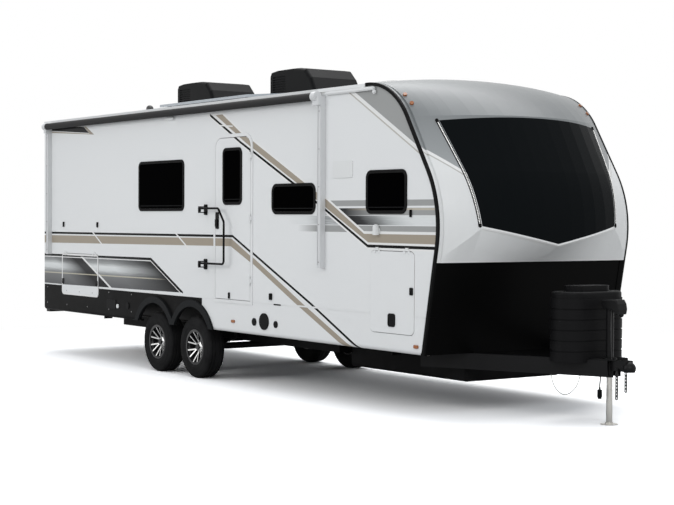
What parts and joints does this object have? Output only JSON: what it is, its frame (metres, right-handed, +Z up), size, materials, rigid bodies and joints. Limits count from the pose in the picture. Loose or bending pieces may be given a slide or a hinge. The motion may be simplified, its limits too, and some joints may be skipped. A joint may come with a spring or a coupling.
{
  "type": "travel caravan",
  "caption": "Tandem-axle travel caravan with a hollow body, front window cap, hinged doors and hatches, folded awning, roof units, drawbar coupler, jack and stabiliser legs.",
  "frame": {"origin": "on the ground, at the middle of the vehicle's length, on its middle line", "axes": "+X forward to the hitch, +Y to the side away from the entry door, +Z up"},
  "size_m": [10.105, 2.589, 3.588],
  "materials": {
    "shell": "smooth gloss laminate with painted stripes",
    "cap": "moulded cap, grey above and white below",
    "dark_glass": "dark tinted glass",
    "black_panel": "black gloss panel",
    "roof_skin": "white roof membrane",
    "deck": "laminated floor deck with a dark underside",
    "black_trim": "satin black trim",
    "white_trim": "white trim",
    "frame_black": "black chassis paint",
    "tyre": "black rubber",
    "rim": "black rim with machined spokes",
    "zinc": "bright zinc plate",
    "lamp_amber": "amber lens",
    "lamp_red": "red lens",
    "cooler_black": "dark moulded cover",
    "panel_grey": "glazed grey roof panel",
    "awning": "rolled black awning cloth",
    "arm_silver": "white painted arms",
    "steel": "plain steel"
  },
  "bodies": {
    "root": {"sidewall_right": "shell", "sidewall_left": "shell", "rear_wall": "shell", "roof": "roof_skin", "front_cap": "cap", "front_window": "dark_glass", "front_panel": "black_panel", "floor_deck": "deck", "skirts_rear": "black_trim", "skirts_front": "shell", "fender_flares": "black_trim", "edge_trims": "black_trim", "gutter_rails": "white_trim", "window_frames": "black_trim", "window_panes": "dark_glass", "door_frame": "white_trim", "handle_brackets": "black_trim", "awning_roller": "awning", "awning_arms": "arm_silver", "cooling_units": "cooler_black", "solar_panel": "panel_grey", "roof_fittings": "white_trim", "side_fittings": "black_trim", "marker_lamps": "lamp_amber", "tail_lamps": "lamp_red", "chassis_rails": "frame_black", "crossmembers": "frame_black", "tongue_rails": "frame_black", "coupler": "frame_black", "safety_chains": "steel", "jack_housing": "frame_black", "bottle_cover": "black_trim", "rear_bumper": "frame_black", "axles": "frame_black", "leaf_springs": "frame_black", "tank_guard": "black_trim", "plug_cord": "black_trim", "plug": "black_trim", "ground_wire": "white_trim", "jack_cable": "black_trim"},
    "entry_door": {"entry_door": "shell", "door_window_frame": "black_trim", "door_pane": "dark_glass"},
    "grab_handle": {"grab_handle": "black_trim"},
    "baggage_door_right": {"baggage_door_right": "shell"},
    "baggage_door_left": {"baggage_door_left": "shell"},
    "kitchen_door": {"kitchen_door": "shell"},
    "jack_leg": {"jack_leg": "zinc"},
    "wheel_front_right": {"tyre_front_right": "tyre", "rim_front_right": "rim"},
    "stabiliser_front_right": {"stabiliser_front_right": "frame_black"},
    "wheel_front_left": {"tyre_front_left": "tyre", "rim_front_left": "rim"},
    "stabiliser_front_left": {"stabiliser_front_left": "frame_black"},
    "wheel_rear_right": {"tyre_rear_right": "tyre", "rim_rear_right": "rim"},
    "stabiliser_rear_right": {"stabiliser_rear_right": "frame_black"},
    "wheel_rear_left": {"tyre_rear_left": "tyre", "rim_rear_left": "rim"},
    "stabiliser_rear_left": {"stabiliser_rear_left": "frame_black"}
  },
  "joints": [
    {"name": "entry_door_hinge", "type": "hinge", "parent": "root", "child": "entry_door", "pos_m": [0.525, -1.2395, 1.86], "axis": [0, 0, 1], "range_deg": [0, 90]},
    {"name": "grab_handle_swing", "type": "hinge", "parent": "root", "child": "grab_handle", "pos_m": [-0.455, -1.307, 1.65], "axis": [0, 0, -1], "range_deg": [0, 180]},
    {"name": "baggage_door_right_hinge", "type": "hinge", "parent": "root", "child": "baggage_door_right", "pos_m": [3.073, -1.23, 1.562], "axis": [-1, 0, 0], "range_deg": [0, 120]},
    {"name": "baggage_door_left_hinge", "type": "hinge", "parent": "root", "child": "baggage_door_left", "pos_m": [3.073, 1.23, 1.562], "axis": [1, 0, 0], "range_deg": [0, 120]},
    {"name": "kitchen_door_hinge", "type": "hinge", "parent": "root", "child": "kitchen_door", "pos_m": [-3.775, -1.23, 1.387], "axis": [-1, 0, 0], "range_deg": [0, 110]},
    {"name": "jack_leg_slide", "type": "slide", "parent": "root", "child": "jack_leg", "axis": [0, 0, 1], "range_m": [0, 0.33]},
    {"name": "wheel_front_right_spin", "type": "hinge", "parent": "root", "child": "wheel_front_right", "pos_m": [-0.765, -1.0875, 0.3595], "axis": [0, 1, 0], "continuous": true},
    {"name": "wheel_front_left_spin", "type": "hinge", "parent": "root", "child": "wheel_front_left", "pos_m": [-0.765, 1.0875, 0.3595], "axis": [0, 1, 0], "continuous": true},
    {"name": "wheel_rear_right_spin", "type": "hinge", "parent": "root", "child": "wheel_rear_right", "pos_m": [-1.679, -1.0875, 0.3595], "axis": [0, 1, 0], "continuous": true},
    {"name": "wheel_rear_left_spin", "type": "hinge", "parent": "root", "child": "wheel_rear_left", "pos_m": [-1.679, 1.0875, 0.3595], "axis": [0, 1, 0], "continuous": true},
    {"name": "stabiliser_front_right_drop", "type": "hinge", "parent": "root", "child": "stabiliser_front_right", "pos_m": [2.995, -0.7, 0.555], "axis": [0, -1, 0], "range_deg": [0, 75]},
    {"name": "stabiliser_front_left_drop", "type": "hinge", "parent": "root", "child": "stabiliser_front_left", "pos_m": [2.995, 0.7, 0.555], "axis": [0, -1, 0], "range_deg": [0, 75]},
    {"name": "stabiliser_rear_right_drop", "type": "hinge", "parent": "root", "child": "stabiliser_rear_right", "pos_m": [-4.505, -0.7, 0.555], "axis": [0, 1, 0], "range_deg": [0, 75]},
    {"name": "stabiliser_rear_left_drop", "type": "hinge", "parent": "root", "child": "stabiliser_rear_left", "pos_m": [-4.505, 0.7, 0.555], "axis": [0, 1, 0], "range_deg": [0, 75]}
  ],
  "couplings": [
    {"joint": "grab_handle_swing", "follows": "entry_door_hinge", "ratio": 2}
  ]
}
